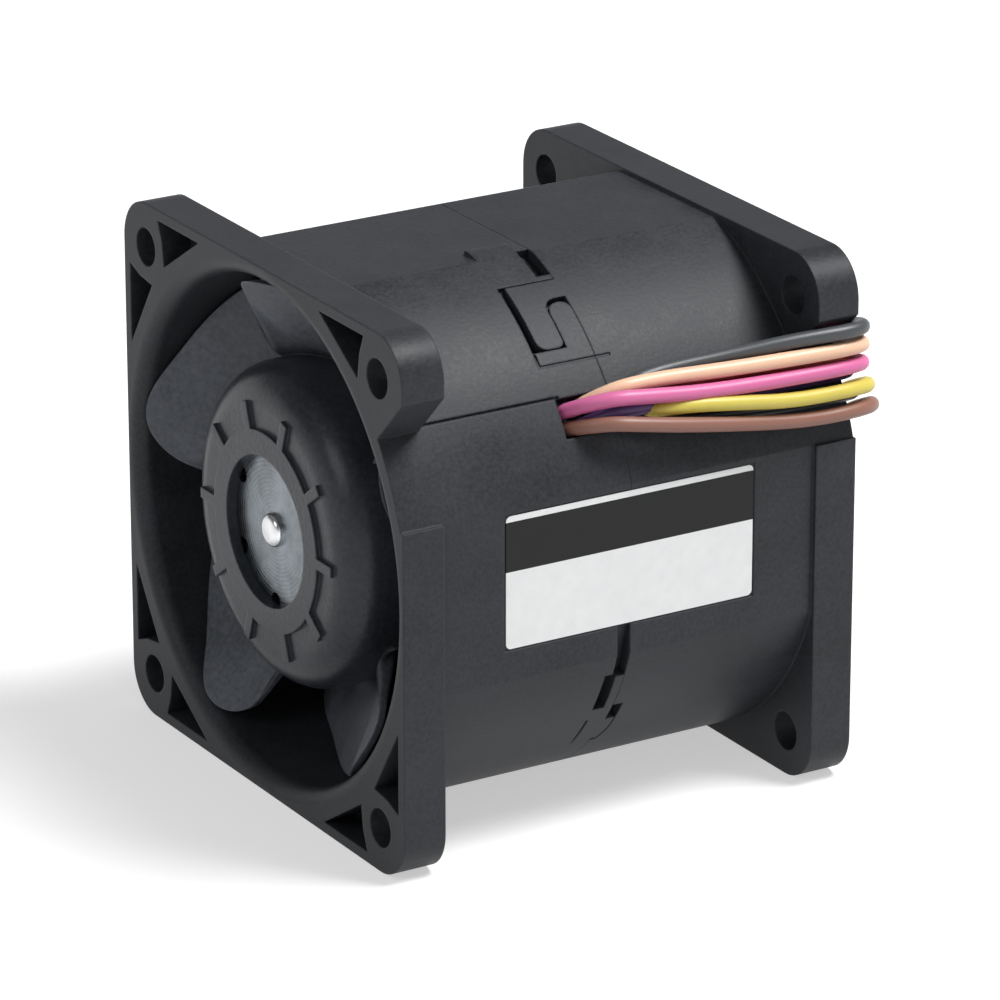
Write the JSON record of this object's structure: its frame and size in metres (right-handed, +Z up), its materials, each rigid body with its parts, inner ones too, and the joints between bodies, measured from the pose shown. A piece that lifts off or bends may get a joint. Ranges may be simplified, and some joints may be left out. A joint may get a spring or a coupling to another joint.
{
  "type": "counter-rotating axial cooling fan",
  "caption": "Square axial cooling fan with two motor halves in line that turn opposite ways, flanged at both faces, with coloured leads from a slot in its side.",
  "frame": {"origin": "on the surface that the fan stands on, under the middle of the two flanges", "axes": "X along the shaft from the inlet face to the outlet face, -Y out of the label side, +Z up"},
  "size_m": [0.0902, 0.0791, 0.06],
  "materials": {
    "black_pbt": "fine moulded texture",
    "rotor_steel": "plated",
    "bonded_magnet": "matt",
    "shaft_steel": "ground",
    "spring_steel": "bright",
    "bearing_steel": "ground",
    "cage_steel": "pressed",
    "sleeve_brass": "turned",
    "core_steel": "coated laminations",
    "insulator_nylon": "moulded",
    "copper_wire": "enamelled",
    "board_laminate": "solder resist",
    "chip_black": "moulded",
    "label_film": "bare film",
    "insulation_brown": "extruded",
    "insulation_black": "extruded",
    "insulation_yellow": "extruded",
    "insulation_purple": "extruded",
    "insulation_pink": "extruded",
    "insulation_red": "extruded",
    "insulation_orange": "extruded",
    "insulation_grey": "extruded",
    "coil_insulation": "extruded",
    "tie_nylon": "moulded",
    "tinned_copper": "tinned strands"
  },
  "bodies": {
    "frame": {"inlet_housing": "black_pbt", "inlet_bearing_outer_rings": "bearing_steel", "inlet_bearing_sleeve": "sleeve_brass", "inlet_stator_core": "core_steel", "inlet_insulator": "insulator_nylon", "inlet_coils": "copper_wire", "inlet_circuit_board": "board_laminate", "inlet_board_components": "chip_black", "outlet_housing": "black_pbt", "outlet_bearing_outer_rings": "bearing_steel", "outlet_bearing_sleeve": "sleeve_brass", "outlet_stator_core": "core_steel", "outlet_insulator": "insulator_nylon", "outlet_coils": "copper_wire", "outlet_circuit_board": "board_laminate", "outlet_board_components": "chip_black", "label": "label_film", "lead_brown": "insulation_brown", "lead_black": "insulation_black", "lead_yellow": "insulation_yellow", "lead_purple": "insulation_purple", "lead_pink": "insulation_pink", "lead_red": "insulation_red", "lead_orange": "insulation_orange", "lead_grey": "insulation_grey", "lead_coil": "coil_insulation", "lead_tie": "tie_nylon", "lead_ends": "tinned_copper"},
    "inlet_rotor": {"inlet_impeller": "black_pbt", "inlet_rotor_cup": "rotor_steel", "inlet_magnet_ring": "bonded_magnet", "inlet_shaft": "shaft_steel", "inlet_retaining_ring": "spring_steel", "inlet_preload_spring": "spring_steel", "inlet_bearing_inner_rings": "bearing_steel"},
    "inlet_ball_set": {"inlet_bearing_balls": "bearing_steel", "inlet_bearing_cages": "cage_steel"},
    "outlet_rotor": {"outlet_impeller": "black_pbt", "outlet_rotor_cup": "rotor_steel", "outlet_magnet_ring": "bonded_magnet", "outlet_shaft": "shaft_steel", "outlet_retaining_ring": "spring_steel", "outlet_preload_spring": "spring_steel", "outlet_bearing_inner_rings": "bearing_steel"},
    "outlet_ball_set": {"outlet_bearing_balls": "bearing_steel", "outlet_bearing_cages": "cage_steel"}
  },
  "joints": [
    {"name": "inlet_spin", "type": "hinge", "parent": "frame", "child": "inlet_rotor", "pos_m": [0, 0, 0.03], "axis": [-1, 0, 0], "continuous": true},
    {"name": "inlet_ball_orbit", "type": "hinge", "parent": "frame", "child": "inlet_ball_set", "pos_m": [0, 0, 0.03], "axis": [-1, 0, 0], "continuous": true},
    {"name": "outlet_spin", "type": "hinge", "parent": "frame", "child": "outlet_rotor", "pos_m": [0, 0, 0.03], "axis": [1, 0, 0], "continuous": true},
    {"name": "outlet_ball_orbit", "type": "hinge", "parent": "frame", "child": "outlet_ball_set", "pos_m": [0, 0, 0.03], "axis": [1, 0, 0], "continuous": true}
  ],
  "couplings": [
    {"joint": "inlet_ball_orbit", "follows": "inlet_spin", "ratio": 0.37273},
    {"joint": "outlet_ball_orbit", "follows": "outlet_spin", "ratio": 0.37273}
  ]
}
